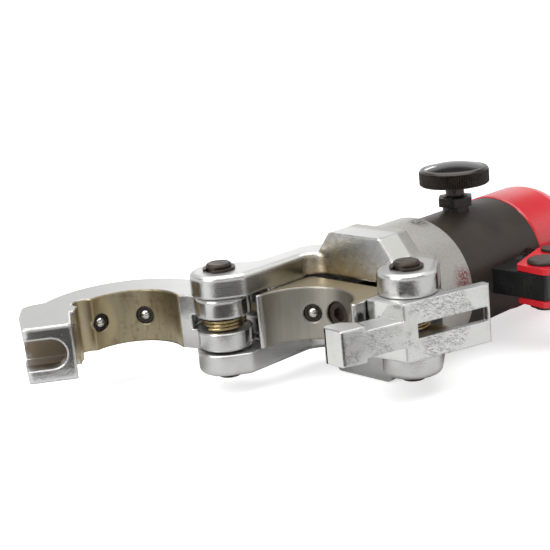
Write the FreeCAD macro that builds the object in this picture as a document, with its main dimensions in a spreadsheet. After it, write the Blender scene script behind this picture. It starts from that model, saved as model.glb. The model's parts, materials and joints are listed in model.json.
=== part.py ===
import FreeCAD, Part
import math
import os
from FreeCAD import Placement, Rotation, Vector

# Hydraulic pipe press tool, millimetres and degrees.
# Frame: origin at the centre of the ram's half-round die seat, +X out of the head,
# +Y towards the latch, +Z up along the hinge pins.

doc = FreeCAD.newDocument("pipe_press_tool")
sizes = doc.addObject("Spreadsheet::Sheet", "Sizes")

DRIVING_SIZES = [
    ("seat_radius", 24.0),
    ("seat_height", 25.4),
    ("ram_advance", 6.8),
    ("ram_stroke", 22.0),
    ("ram_wall", 10.8),
    ("ram_left", 26.3),
    ("ram_right", 24.3),
    ("short_horn_back", 9.0),
    ("horn_tip", 3.0),
    ("hinge_offset", 44.0),
    ("latch_back", 34.7),
    ("latch_offset", 33.5),
    ("pin_radius", 6.0),
    ("pin_end", 27.4),
    ("running_gap", 0.05),
    ("small_gap", 0.3),
    ("slot_height", 27.2),
    ("ear_top", 24.1),
    ("hinge_ear_radius", 14.0),
    ("latch_ear_radius", 13.5),
    ("throat_back", 38.0),
    ("arm_inside", 27.2),
    ("arm_outside", 40.0),
    ("throat_corner", 9.0),
    ("plateau_top", 34.2),
    ("plateau_half_width", 15.5),
    ("plateau_foot", 23.0),
    ("slot_bottom", 54.5),
    ("shoulder_wall", 5.0),
    ("collar_front", 55.0),
    ("collar_back", 82.8),
    ("collar_radius", 33.2),
    ("cheek_round", 2.6),
    ("collar_round", 1.6),
    ("jaw_round", 2.2),
    ("barrel_radius", 30.0),
    ("barrel_back", 143.0),
    ("spigot_radius", 27.0),
    ("bore_radius", 21.0),
    ("gland_wall", 5.0),
    ("bore_bottom", 106.7),
    ("rod_radius", 11.0),
    ("piston_length", 10.0),
    ("tail_spigot_radius", 24.0),
    ("tail_spigot_length", 12.0),
    ("jaw_open_angle", 127.1),
    ("jaw_height", 25.8),
    ("jaw_outer_radius", 45.3),
    ("jaw_lug_radius", 13.0),
    ("lug_gap", 7.0),
    ("nose_side", 49.2),
    ("nose_front_side", 46.5),
    ("nose_back", 20.3),
    ("nose_inside", 24.8),
    ("nose_ledge", 9.0),
    ("mouth_height", 14.0),
    ("mouth_end", 28.2),
    ("undercut_height", 17.6),
    ("undercut_length", 15.3),
    ("undercut_end", 28.7),
    ("latch_angle", 18.0),
    ("latch_face", 16.5),
    ("latch_tail", 32.6),
    ("tail_thickness", 6.0),
    ("latch_height", 26.6),
    ("arm_height", 11.8),
    ("tee_height", 16.0),
    ("window_front", 6.3),
    ("window_height", 6.8),
    ("recess_front", 13.0),
    ("detent_radius", 4.4),
    ("ball_radius", 2.8),
    ("ball_proud", 1.2),
    ("detent_depth", 9.5),
    ("knob_place", 114.5),
    ("knob_radius", 17.3),
    ("knob_bottom", 43.4),
    ("knob_thick", 8.2),
    ("cap_radius", 14.6),
    ("stem_radius", 4.6),
    ("bushing_radius", 6.6),
    ("bushing_top", 37.6),
    ("nut_across_flats", 16.0),
    ("nut_thick", 4.4),
    ("lug_front", 102.0),
    ("lug_width", 18.5),
    ("lug_height", 12.4),
    ("lug_reach", 60.0),
    ("fulcrum_back", 112.0),
    ("fulcrum_offset", 52.6),
    ("fulcrum_radius", 5.0),
    ("drive_back", 18.5),
    ("drive_inward", 11.9),
    ("drive_radius", 3.0),
    ("handle_rest_angle", 8.0),
    ("fork_gap", 13.0),
    ("fork_plate", 3.0),
    ("plunger_radius", 6.0),
    ("housing_radius", 30.6),
    ("housing_body", 27.0),
    ("housing_length", 46.0),
    ("neck_radius", 17.5),
    ("neck_length", 12.0),
    ("handle_tube_radius", 13.0),
    ("fixed_handle_length", 240.0),
    ("fixed_grip_radius", 16.5),
    ("grip_length", 130.0),
    ("moving_tube_radius", 10.0),
    ("moving_handle_length", 330.0),
    ("moving_grip_radius", 14.0),
]

for row, (alias, value) in enumerate(DRIVING_SIZES, start=1):
    sizes.set("A%d" % row, alias)
    sizes.set("B%d" % row, str(value))
    sizes.setAlias("B%d" % row, alias)
doc.recompute()


class Sheet:
    """Reads a driving size by its name."""

    def __getattr__(self, name):
        return float(sizes.get(name))


size = Sheet()
nodes = []
ram_back = size.seat_radius + size.ram_wall


def corner_arc(before, corner, after, radius):
    """Arc that rounds one corner of an outline, with its two tangent points."""
    towards_before = (before - corner).normalize()
    towards_after = (after - corner).normalize()
    half_angle = towards_before.getAngle(towards_after) / 2
    reach = radius / math.tan(half_angle)
    start = corner + towards_before * reach
    end = corner + towards_after * reach
    bisector = (towards_before + towards_after).normalize()
    centre = corner + bisector * (radius / math.sin(half_angle))
    middle = centre - bisector * radius
    return start, middle, end


def outline(corners):
    """Closed outline of straight runs: each corner is (x, y) or (x, y, rounding radius)."""
    points = [Vector(corner[0], corner[1], 0) for corner in corners]
    radii = [corner[2] if len(corner) > 2 else 0 for corner in corners]
    count = len(points)
    arcs = []
    for i in range(count):
        if radii[i] > 0:
            arcs.append(corner_arc(points[i - 1], points[i], points[(i + 1) % count], radii[i]))
        else:
            arcs.append((points[i], None, points[i]))
    edges = []
    for i in range(count):
        start, middle, end = arcs[i]
        if middle is not None:
            edges.append(Part.Arc(start, middle, end))
        following = arcs[(i + 1) % count][0]
        if (following - end).Length > 1e-6:
            edges.append(Part.LineSegment(end, following))
    return edges


def ring(x, y, radius):
    """Circle as an outline."""
    return [Part.Circle(Vector(x, y, 0), Vector(0, 0, 1), radius)]


def polar(radius, degrees):
    """Point at a radius and an angle."""
    return radius * math.cos(math.radians(degrees)), radius * math.sin(math.radians(degrees))


class Piece:
    """One sub-part as a body of pads, pockets and revolutions."""

    def __init__(self, label, placement=None):
        self.body = doc.addObject("PartDesign::Body", label)
        self.body.Label = label
        if placement is not None:
            self.body.Placement = placement
        self.volume = 0.0
        nodes.append(self.body)

    def sketch(self, plane, start, edges):
        sketch = self.body.newObject("Sketcher::SketchObject", "Sketch")
        support = [item for item in self.body.Origin.OriginFeatures if item.Role == plane + "_Plane"][0]
        sketch.AttachmentSupport = [(support, "")]
        sketch.MapMode = "FlatFace"
        for edge in edges:
            sketch.addGeometry(edge, False)
        if start is not None:
            sketch.setExpression("AttachmentOffset.Base.z", start)
        return sketch

    def settle(self, feature, grows):
        doc.recompute()
        volume = self.body.Shape.Volume
        if (volume > self.volume) != grows:
            raise ValueError("%s of %s changes nothing" % (feature.Name, self.body.Label))
        self.volume = volume
        return self

    def pad(self, plane, edges, length, start=None):
        """Adds a slab along the plane's normal, or to both sides where no start is given."""
        feature = self.body.newObject("PartDesign::Pad", "Pad")
        feature.Profile = self.sketch(plane, start, edges)
        feature.setExpression("Length", length)
        if start is None:
            feature.SideType = "Symmetric"
        return self.settle(feature, True)

    def pocket(self, plane, edges, length, start=None):
        """Cuts a slab along the plane's normal, or to both sides where no start is given."""
        feature = self.body.newObject("PartDesign::Pocket", "Pocket")
        feature.Profile = self.sketch(plane, start, edges)
        feature.setExpression("Length", length)
        if start is None:
            feature.SideType = "Symmetric"
        else:
            feature.Reversed = True
        return self.settle(feature, False)

    def turn(self, points, axis="V_Axis"):
        """Adds a turned solid: points are (radius, height), or (length, radius) about H_Axis."""
        feature = self.body.newObject("PartDesign::Revolution", "Revolution")
        profile = self.sketch("XZ", None, outline(points))
        feature.Profile = profile
        feature.ReferenceAxis = (profile, [axis])
        feature.Angle = 360
        return self.settle(feature, True)

    def groove(self, points, axis="V_Axis"):
        """Cuts a turned groove or hole."""
        feature = self.body.newObject("PartDesign::Groove", "Groove")
        profile = self.sketch("XZ", None, outline(points))
        feature.Profile = profile
        feature.ReferenceAxis = (profile, [axis])
        feature.Angle = 360
        return self.settle(feature, False)

    def round_edges(self, radius, wanted):
        """Rounds the edges that a test on the edge picks."""
        tip = self.body.Tip
        names = ["Edge%d" % (i + 1) for i, edge in enumerate(tip.Shape.Edges) if wanted(edge)]
        feature = self.body.newObject("PartDesign::Fillet", "Fillet")
        feature.Base = (tip, names)
        feature.setExpression("Radius", radius)
        doc.recompute()
        self.volume = self.body.Shape.Volume
        return self


def along_x(x, y=0.0, z=0.0):
    """Placement of a part turned about its own Z, laid along +X."""
    return Placement(Vector(x, y, z), Rotation(Vector(0, 1, 0), 90))


def along_y(x, y, z=0.0):
    """Placement of a part turned about its own Z, laid along +Y."""
    return Placement(Vector(x, y, z), Rotation(Vector(1, 0, 0), -90))


def upright(x, y, z=0.0):
    """Placement of a part turned about its own Z."""
    return Placement(Vector(x, y, z), Rotation())


def spring(label, placement, mean_radius, wire_radius, length, turns):
    """Coil spring about its own Z, from 0 to its length."""
    helix = doc.addObject("Part::Helix", label + "_line")
    helix.Radius = mean_radius
    helix.Height = length - 2 * wire_radius
    helix.Pitch = (length - 2 * wire_radius) / turns
    section = doc.addObject("Part::Circle", label + "_wire")
    section.Radius = wire_radius
    section.Placement = Placement(Vector(mean_radius, 0, 0), Rotation(Vector(1, 0, 0), 90))
    sweep = doc.addObject("Part::Sweep", label)
    sweep.Label = label
    sweep.Sections = [section]
    sweep.Spine = (helix, ["Edge1"])
    sweep.Solid = True
    sweep.Frenet = True
    lift = Placement(Vector(0, 0, wire_radius), Rotation())
    sweep.Placement = placement.multiply(lift)
    return sweep


def torsion_spring(label, placement, mean_radius, wire_radius, length, turns):
    """Close-wound coil about its own Z, its middle at 0, lofted from ring to ring of the wire."""
    rise = length - 2 * wire_radius
    lead = math.degrees(math.atan2(rise, 2 * math.pi * mean_radius * turns))
    count = round(turns * 16)
    sections = []
    for i in range(count + 1):
        section = doc.addObject("Part::Circle", label + "_wire")
        section.Radius = wire_radius
        turn = Rotation(Vector(0, 0, 1), 360 * turns * i / count)
        place = turn.multVec(Vector(mean_radius, 0, 0)) + Vector(0, 0, rise * (i / count - 0.5))
        section.Placement = Placement(place, turn.multiply(Rotation(Vector(1, 0, 0), 90 + lead)))
        sections.append(section)
    coil = doc.addObject("Part::Loft", label)
    coil.Label = label
    coil.Sections = sections
    coil.Solid = True
    coil.Ruled = True
    coil.Placement = placement
    nodes.append(coil)


def group(label, members):
    """Several like solids in one node."""
    compound = doc.addObject("Part::Compound", label)
    compound.Label = label
    compound.Links = members
    for member in members:
        if member in nodes:
            nodes.remove(member)
    nodes.append(compound)
    return compound


# Places that several pieces share.
hinge = (size.ram_advance, -size.hinge_offset)
latch = (-size.latch_back, size.latch_offset)
drive_rest = Rotation(Vector(0, 0, 1), -size.handle_rest_angle)
fulcrum = Vector(-size.fulcrum_back, size.fulcrum_offset, 0)
drive = fulcrum + drive_rest.multVec(Vector(-size.drive_back, -size.drive_inward, 0))
spigot_front = size.slot_bottom + size.shoulder_wall + size.small_gap
bore_front = spigot_front + size.gland_wall
hole_radius = size.pin_radius + size.running_gap


def flat_at(edge, height):
    """True for an edge that lies in one of the two faces at a height."""
    box = edge.BoundBox
    return box.ZLength < 0.01 and abs(abs(box.ZMax) - height) < 0.01


def on_cheek_rim(edge):
    """True for the cheeks' outer rims, except along the collar."""
    return flat_at(edge, size.ear_top) and edge.BoundBox.XMax > -size.collar_front - 1


# Yoke: forged head with two cheeks, hinge and latch ears, and the collar that swivels on the barrel.


def tangent_corner(centre, radius, first, second):
    """Corner whose rounding at the radius is the circle's own arc between two tangents."""
    middle = math.radians((first + second) / 2)
    reach = radius / math.cos(math.radians((second - first) / 2))
    return centre[0] + reach * math.cos(middle), centre[1] + reach * math.sin(middle), radius


def tangent_at(centre, radius, degrees, level=None, station=None):
    """Point where the tangent at an angle crosses a level (y) or a station (x)."""
    touch_x, touch_y = polar(radius, degrees)
    slope_x, slope_y = -math.sin(math.radians(degrees)), math.cos(math.radians(degrees))
    if level is not None:
        reach = (level - centre[1] - touch_y) / slope_y
    else:
        reach = (station - centre[0] - touch_x) / slope_x
    return centre[0] + touch_x + slope_x * reach, centre[1] + touch_y + slope_y * reach


block_back = -size.collar_front - 2
hinge_ear = size.hinge_ear_radius
latch_ear = size.latch_ear_radius
arm_shoulder = tangent_at(hinge, hinge_ear, 55, level=-size.arm_inside)
arm_neck = tangent_at(hinge, hinge_ear, 215, level=-size.arm_outside)
latch_shoulder = tangent_at(latch, latch_ear, 125, station=block_back)
cheek_corners = [
    (*arm_shoulder, 6),
    (-size.throat_back, -size.arm_inside, size.throat_corner),
    (-size.throat_back, latch[1] - latch_ear, 2.8),
    tangent_corner(latch, latch_ear, 270, 360),
    tangent_corner(latch, latch_ear, 0, 90),
    tangent_corner(latch, latch_ear, 90, 125),
    latch_shoulder,
    (block_back, -size.collar_radius + 4),
    (-size.throat_back - 6, -size.arm_outside, 12),
    (*arm_neck, 8),
    tangent_corner(hinge, hinge_ear, 215, 270),
    tangent_corner(hinge, hinge_ear, 270, 360),
    tangent_corner(hinge, hinge_ear, 0, 55),
]
plateau_corners = [
    (size.plateau_half_width, size.plateau_top, 1.5),
    (size.plateau_foot, size.ear_top),
    (size.plateau_foot, -size.ear_top),
    (size.plateau_half_width, -size.plateau_top, 1.5),
    (-size.plateau_half_width, -size.plateau_top, 1.5),
    (-size.plateau_foot, -size.ear_top),
    (-size.plateau_foot, size.ear_top),
    (-size.plateau_half_width, size.plateau_top, 1.5),
]


def on_collar_rim(edge):
    """True for the rear rim of the collar."""
    box = edge.BoundBox
    return box.XLength < 0.01 and abs(box.XMin + size.collar_back) < 0.01


slot_corners = [
    (-size.slot_bottom, -size.arm_inside, 3),
    (hinge[0] - size.jaw_lug_radius - 2, -size.arm_inside, 2),
    (hinge[0] - size.jaw_lug_radius - 2, hinge[1] - 25),
    (hinge[0] + 25, hinge[1] - 25),
    (hinge[0] + 25, latch[1] + 25),
    (-size.slot_bottom, latch[1] + 25),
]
yoke = Piece("yoke")
yoke.pad("XY", outline(cheek_corners), "Sizes.ear_top * 2")
yoke.round_edges("Sizes.cheek_round", on_cheek_rim)
yoke.pad("YZ", outline(plateau_corners), "Sizes.collar_front + 2 - Sizes.throat_back",
         "-Sizes.collar_front - 2")
yoke.pad("YZ", ring(0, 0, size.collar_radius), "Sizes.collar_back - Sizes.collar_front",
         "-Sizes.collar_back")
yoke.round_edges("Sizes.collar_round", on_collar_rim)
yoke.pocket("XY", outline(slot_corners), "Sizes.slot_height")
yoke.pocket("YZ", ring(0, 0, size.spigot_radius + size.running_gap),
            "Sizes.collar_back - Sizes.slot_bottom - Sizes.shoulder_wall + 1",
            "-Sizes.collar_back - 1")
yoke.pocket("YZ", ring(0, 0, size.rod_radius + size.small_gap), "Sizes.shoulder_wall + 4",
            "-Sizes.slot_bottom - Sizes.shoulder_wall - 2")
yoke.pocket("XY", ring(hinge[0], hinge[1], hole_radius), "Sizes.ear_top * 2 + 2")
yoke.pocket("XY", ring(latch[0], latch[1], hole_radius), "Sizes.ear_top * 2 + 2")

# Hinge pin and latch pin, each with a groove at both ends for a circlip.
clip_height = 1.0
clip_low = size.ear_top + 0.2
pin_profile = [
    (0, -size.pin_end),
    (size.pin_radius - 0.8, -size.pin_end),
    (size.pin_radius, -size.pin_end + 0.8),
    (size.pin_radius, size.pin_end - 0.8),
    (size.pin_radius - 0.8, size.pin_end),
    (0, size.pin_end),
]
clips = []
for name, place in (("hinge_pin", hinge), ("latch_pin", latch)):
    pin = Piece(name, upright(place[0], place[1]))
    pin.turn(pin_profile)
    for side in (-1, 1):
        low = side * clip_low
        high = side * (clip_low + clip_height + 0.1)
        groove_edges = [(size.pin_radius - 0.7, low), (size.pin_radius + 1, low),
                        (size.pin_radius + 1, high), (size.pin_radius - 0.7, high)]
        pin.groove(groove_edges)
        clip = Piece("%s_clip_%s" % (name, "top" if side > 0 else "bottom"),
                     upright(place[0], place[1], side * (clip_low + clip_height / 2 + 0.05)))
        clip.pad("XY", ring(0, 0, size.pin_radius + 1.6), "%f" % clip_height)
        clip.pocket("XY", ring(0, 0, size.pin_radius - 0.65), "3")
        clip.pocket("XY", outline([(0, -2.5), (12, -2.5), (12, 2.5), (0, 2.5)]), "3")
        clips.append(clip.body)
group("pin_circlips", clips)

# Jaw, drawn closed with its seat centre at its own origin, then swung open about the hinge.
jaw_hinge = (0.0, -size.hinge_offset)
closed_centre = Vector(size.ram_advance, 0, 0)
hinge_point = Vector(hinge[0], hinge[1], 0)
swing_open = Rotation(Vector(0, 0, 1), -size.jaw_open_angle)


def open_jaw(local=Placement()):
    """Place in the open jaw of something given in the closed jaw's frame."""
    closed = Placement(closed_centre, Rotation()).multiply(local)
    turn = Placement(hinge_point - swing_open.multVec(hinge_point), swing_open)
    return turn.multiply(closed)


tangent = math.degrees(math.acos((size.jaw_outer_radius - size.jaw_lug_radius) / size.hinge_offset))
tangent_angle = tangent - 90
outer_start = Vector(*polar(size.jaw_outer_radius, tangent_angle), 0)
outer_end = Vector(*polar(size.jaw_outer_radius, 64), 0)
outer_middle = Vector(*polar(size.jaw_outer_radius, 10), 0)
lug_end = Vector(*polar(size.jaw_lug_radius, tangent_angle), 0) + Vector(0, jaw_hinge[1], 0)
lug_start = Vector(0, jaw_hinge[1] + size.jaw_lug_radius, 0)
lug_middle = Vector(-size.jaw_lug_radius, jaw_hinge[1], 0)
seat_foot = Vector(5.5, -math.sqrt(size.seat_radius ** 2 - 5.5 ** 2) - 0.4, 0)
nose_front = outer_end.x - 2
jaw_edges = [
    Part.Arc(outer_start, outer_middle, outer_end),
    Part.Arc(lug_start, lug_middle, lug_end),
    Part.LineSegment(lug_end, outer_start),
    Part.LineSegment(seat_foot, lug_start),
]
nose_points = [
    (outer_end.x, outer_end.y),
    (nose_front, size.nose_side, 6.5),
    (-2, size.nose_side, 8),
    (-size.nose_back, size.nose_front_side, 1.5),
    (-size.nose_back, size.nose_inside, 0.8),
    (0, size.nose_inside + 1.2),
    (0, size.nose_inside - 5),
    (5.5, 10),
    (seat_foot.x, seat_foot.y),
]
nose_edges = outline(nose_points)[:-1]


def outer_jaw_edge(edge):
    """True for the rims of the jaw's back, from its lug to its nose."""
    middle = edge.valueAt((edge.FirstParameter + edge.LastParameter) / 2)
    outside = middle.x > 5 and math.hypot(middle.x, middle.y) > size.seat_radius + 9
    return flat_at(edge, size.jaw_height / 2) and outside and middle.y < outer_end.y - 1


jaw = Piece("jaw", open_jaw())
jaw.pad("XY", jaw_edges + nose_edges, "Sizes.jaw_height")
jaw.round_edges("Sizes.jaw_round", outer_jaw_edge)
jaw.pocket("XY", ring(0, 0, size.seat_radius), "Sizes.jaw_height + 2")
jaw.pocket("XY", ring(jaw_hinge[0], jaw_hinge[1], size.jaw_lug_radius + 2), "Sizes.lug_gap")
jaw.pocket("XY", ring(jaw_hinge[0], jaw_hinge[1], hole_radius), "Sizes.jaw_height + 2")
jaw.pocket("XY", ring(*polar(size.seat_radius - 0.9, 59), 5.8), "Sizes.jaw_height + 2")
mouth_round = size.mouth_height / 2
mouth_end = size.mouth_end + mouth_round
mouth = [
    Part.Arc(Vector(mouth_end, mouth_round, 0), Vector(size.mouth_end, 0, 0),
             Vector(mouth_end, -mouth_round, 0)),
    Part.LineSegment(Vector(mouth_end, -mouth_round, 0), Vector(size.nose_side + 5, -mouth_round, 0)),
    Part.LineSegment(Vector(size.nose_side + 5, -mouth_round, 0),
                     Vector(size.nose_side + 5, mouth_round, 0)),
    Part.LineSegment(Vector(size.nose_side + 5, mouth_round, 0), Vector(mouth_end, mouth_round, 0)),
]
jaw.pocket("YZ", mouth, "Sizes.nose_ledge + 6", "-Sizes.nose_back - 5")
undercut_half = size.undercut_height / 2
undercut = [
    (size.undercut_end, -undercut_half, 3),
    (size.nose_side + 5, -undercut_half),
    (size.nose_side + 5, undercut_half),
    (size.undercut_end, undercut_half, 3),
]
jaw.pocket("YZ", outline(undercut), "Sizes.undercut_length", "-Sizes.nose_back + Sizes.nose_ledge")

# Latch lever: T-headed hook, hub and tail, turned about the latch pin.
latch_turn = Rotation(Vector(0, 0, 1), -size.latch_angle)
latch_place = Placement(Vector(latch[0], latch[1], 0), latch_turn)
hub_radius = size.latch_offset - size.ram_right - 0.4
tail_inside = size.latch_face - size.tail_thickness
body_corners = [
    (-size.latch_tail, size.latch_face, 2.5),
    (-size.latch_tail, tail_inside, 1.5),
    (-15, tail_inside, 4),
    (-hub_radius, 2),
    (0, 0),
    (3, -hub_radius + 0.8),
    (20, -2.7, 1.0),
    (size.recess_front, size.latch_face - 2.1),
    (size.recess_front, size.latch_face),
]
arm_corners = [
    (8, 3.5),
    (34, 3.5),
    (34, size.latch_face),
    (8, size.latch_face),
]
tee_corners = [
    (31.7, 8.8, 2),
    (37, 4, 3),
    (47.4, 2.6, 3),
    (43.5, size.latch_face, 1.2),
    (31.7, size.latch_face, 1),
]
lever = Piece("latch_lever", latch_place)
lever.pad("XY", outline(body_corners), "Sizes.latch_height")
lever.pad("XY", ring(0, 0, hub_radius), "Sizes.latch_height")
lever.pad("XY", outline(arm_corners), "Sizes.arm_height")
lever.pad("XY", outline(tee_corners), "Sizes.tee_height")
lever.pocket("XY", ring(0, 0, hole_radius), "Sizes.latch_height + 2")
window_back = -size.latch_tail + 2.4
window_corners = [(window_back, -30), (size.window_front, -30), (size.window_front, 30),
                  (window_back, 30)]
lever.pocket("XY", outline(window_corners), "Sizes.window_height")
lever.pocket("XY", ring(0, 0, 10.4), "Sizes.window_height")
hollow_radius = size.collar_radius + 0.8
hollow_centre = size.latch_face - 3.4 - hollow_radius
lever.pocket("YZ", ring(hollow_centre, 0, hollow_radius), "30", "-Sizes.latch_tail - 10")

# Torsion springs on the two pins.
spring_room = 6.1
torsion_spring("jaw_spring", upright(*hinge), 9.6, 0.8, spring_room, 2.75)
torsion_spring("latch_spring", upright(*latch), 8.4, 0.65, spring_room, 3.25)

# Ram head: die holder block with a half-round seat and two horns of unequal length.
ram_corners = [
    (-ram_back, -size.ram_left, 3),
    (size.horn_tip, -size.ram_left, 0.6),
    (0, -size.seat_radius + 0.6),
    (0, 0),
    (-size.short_horn_back, 0),
    (-size.short_horn_back, size.ram_right, 0.8),
    (-ram_back, size.ram_right, 3),
]
screw_seat_depth = 6.0
ram = Piece("ram_head")
ram.pad("XY", outline(ram_corners), "Sizes.seat_height")
ram.pocket("XY", ring(0, 0, size.seat_radius), "Sizes.seat_height + 2")
ram.pocket("YZ", ring(0, 0, 6.5), "%f" % (screw_seat_depth + 20), "-Sizes.seat_radius - %f" % screw_seat_depth)
ram.pocket("YZ", ring(0, 0, 4.1), "40", "-Sizes.seat_radius - Sizes.ram_wall - 1")

screw_foot = size.seat_radius + screw_seat_depth
ram_screw = Piece("ram_screw", along_x(-screw_foot))
ram_screw.turn([(0, -14), (4, -14), (4, 0), (6.3, 0), (6.3, 5), (5.8, 5.5), (0, 5.5)])
ram_screw.pocket("XY", outline([(*polar(3.5, 60 * i), 0) for i in range(6)]), "4", "2.5")

# Ram rod with its piston, seal and return spring inside the barrel.
piston_front = bore_front + size.ram_advance + 5.7
rod = Piece("piston_rod", along_x(0))
rod.turn([
    (0, -piston_front - size.piston_length),
    (size.bore_radius - size.running_gap, -piston_front - size.piston_length),
    (size.bore_radius - size.running_gap, -piston_front - 7),
    (size.bore_radius - 3.5, -piston_front - 7),
    (size.bore_radius - 3.5, -piston_front - 3),
    (size.bore_radius - size.running_gap, -piston_front - 3),
    (size.bore_radius - size.running_gap, -piston_front),
    (size.rod_radius, -piston_front),
    (size.rod_radius, -ram_back),
    (0, -ram_back),
])
rod.pocket("XY", ring(0, 0, 4.05), "12", "-Sizes.seat_radius - Sizes.ram_wall - 11")
piston_seal = Piece("piston_seal", along_x(0))
piston_seal.turn([
    (size.bore_radius - 3.45, -piston_front - 6.9),
    (size.bore_radius - 0.06, -piston_front - 6.9),
    (size.bore_radius - 0.06, -piston_front - 3.1),
    (size.bore_radius - 3.45, -piston_front - 3.1),
])
spring_length = piston_front - bore_front
return_spring = spring("return_spring", along_x(-piston_front + 0.1), 15.5, 1.6, spring_length - 0.2, 3)
nodes.append(return_spring)

# Barrel: black steel cylinder with the ram bore in front and the pump block behind.
groove_place = (spigot_front + size.collar_back) / 2
barrel = Piece("barrel", along_x(0))
barrel.turn([
    (0, -size.barrel_back - size.tail_spigot_length),
    (size.tail_spigot_radius, -size.barrel_back - size.tail_spigot_length),
    (size.tail_spigot_radius, -size.barrel_back),
    (size.barrel_radius, -size.barrel_back),
    (size.barrel_radius, -size.collar_back - size.small_gap),
    (size.spigot_radius, -size.collar_back - size.small_gap),
    (size.spigot_radius, -groove_place - 1.2),
    (size.spigot_radius - 2, -groove_place - 1.2),
    (size.spigot_radius - 2, -groove_place + 1.2),
    (size.spigot_radius, -groove_place + 1.2),
    (size.spigot_radius, -spigot_front - 1),
    (size.spigot_radius - 1, -spigot_front),
    (0, -spigot_front),
])
barrel.groove([
    (0, -size.bore_bottom),
    (size.bore_radius, -size.bore_bottom),
    (size.bore_radius, -bore_front),
    (0, -bore_front),
])
barrel.groove([
    (0, -bore_front - 1),
    (size.rod_radius + size.running_gap, -bore_front - 1),
    (size.rod_radius + size.running_gap, -spigot_front + 1),
    (0, -spigot_front + 1),
])
barrel.groove([
    (size.rod_radius - 1, -bore_front + 1.2),
    (size.rod_radius + 3, -bore_front + 1.2),
    (size.rod_radius + 3, -spigot_front - 1.2),
    (size.rod_radius - 1, -spigot_front - 1.2),
])
# Pump block: plunger hole along Y, valve hole along Z and the two check valve chambers along X.
plunger_bottom = -1.0
valve_ball_radius = 3.0
valve_passage = 2.0
valve_chamber = 4.0
delivery_seat = size.bore_bottom + 6.0
suction_seat = size.barrel_back + 2.0
ball_lift = math.sqrt(valve_ball_radius ** 2 - valve_passage ** 2) + 0.02
barrel.pocket("XY", ring(0, 0, valve_chamber), "7", "-%f" % delivery_seat)
barrel.pocket("XY", ring(0, 0, valve_passage), "%f" % (suction_seat - delivery_seat), "-%f" % suction_seat)
barrel.pocket("XY", ring(0, 0, valve_chamber), "7", "-%f" % suction_seat)
barrel.pocket("XY", ring(0, 0, valve_passage), "Sizes.tail_spigot_length", "-Sizes.barrel_back - Sizes.tail_spigot_length")
hole_tools = []


def barrel_hole(label, x, y, z, radius, length, direction):
    """Drilled hole of the barrel as a cutting cylinder."""
    tool = doc.addObject("Part::Cylinder", label)
    tool.Radius = radius
    tool.Height = length
    tool.Placement = Placement(Vector(x, y, z), Rotation(Vector(0, 0, 1), direction))
    hole_tools.append(tool)


barrel_hole("plunger_hole", drive.x, plunger_bottom, 0, size.plunger_radius + size.running_gap, 60,
            Vector(0, 1, 0))
barrel_hole("gland_hole", drive.x, 21.9, 0, 9.0, 40, Vector(0, 1, 0))
barrel_hole("plunger_flat", drive.x, 29.2, 0, 12.0, 40, Vector(0, 1, 0))
barrel_hole("bushing_hole", -size.knob_place, 0, 14, size.bushing_radius, 30, Vector(0, 0, 1))
barrel_hole("needle_hole", -size.knob_place, 0, 0, 2.0, 30, Vector(0, 0, 1))
drilled = doc.addObject("Part::MultiFuse", "barrel_holes")
drilled.Shapes = hole_tools
cylinder = doc.addObject("Part::Cut", "cylinder")
cylinder.Label = "cylinder"
cylinder.Base = barrel.body
cylinder.Tool = drilled
nodes.remove(barrel.body)
nodes.append(cylinder)

rod_seal = Piece("rod_seal", along_x(0))
rod_seal.turn([
    (size.rod_radius + 0.06, -bore_front + 1.3),
    (size.rod_radius + 2.95, -bore_front + 1.3),
    (size.rod_radius + 2.95, -spigot_front - 1.3),
    (size.rod_radius + 0.06, -spigot_front - 1.3),
])

# Retaining ring that lets the collar turn on the barrel and keeps it from coming off.
swivel_ring = Piece("swivel_ring", along_x(0))
swivel_ring.turn([
    (size.spigot_radius - 1.7, -groove_place - 0.9),
    (size.spigot_radius + 2.0, -groove_place - 0.9),
    (size.spigot_radius + 2.0, -groove_place + 0.9),
    (size.spigot_radius - 1.7, -groove_place + 0.9),
])
yoke.body.newObject("PartDesign::Groove", "RingGroove")
ring_groove = yoke.body.Tip
ring_sketch = yoke.sketch("XZ", None, outline([
    (-groove_place - 0.92, size.spigot_radius - 1),
    (-groove_place - 0.92, size.spigot_radius + 2.02),
    (-groove_place + 0.92, size.spigot_radius + 2.02),
    (-groove_place + 0.92, size.spigot_radius - 1),
]))
ring_groove.Profile = ring_sketch
ring_groove.ReferenceAxis = (ring_sketch, ["H_Axis"])
ring_groove.Angle = 360
yoke.settle(ring_groove, False)

# Spring ball detents that hold the two half dies in their seats.
ball_centre = size.seat_radius + size.ball_radius - size.ball_proud
sleeve_start = size.seat_radius + 0.35


def detent(prefix, frame, degrees):
    """Sleeve for one spring ball on a radius of a die seat, with its ball and coil as nodes."""
    radial = Rotation(Vector(0, 0, 1), degrees).multiply(Rotation(Vector(0, 1, 0), 90))
    place = frame.multiply(Placement(Vector(0, 0, 0), radial))
    sleeve = Piece(prefix + "_sleeve", place)
    outer = size.detent_radius - 0.02
    inner = size.ball_radius + 0.08
    lip = size.ball_radius - 0.1
    end = size.seat_radius + size.detent_depth - 0.1
    sleeve.turn([(inner, sleeve_start + 0.7), (lip, sleeve_start), (outer - 0.4, sleeve_start), (outer, sleeve_start + 0.4),
                 (outer, end), (0, end), (0, end - 0.8), (inner, end - 0.8)])
    ball = doc.addObject("Part::Sphere", prefix + "_ball")
    ball.Label = prefix + "_ball"
    ball.Radius = size.ball_radius
    ball.Placement = place.multiply(Placement(Vector(0, 0, ball_centre), Rotation()))
    nodes.append(ball)
    low = ball_centre + size.ball_radius + 0.1
    nodes.append(spring(prefix + "_detent_spring", place.multiply(upright(0, 0, low)), 1.7, 0.3,
                        end - 0.9 - low, 3))
    return sleeve.body


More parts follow.
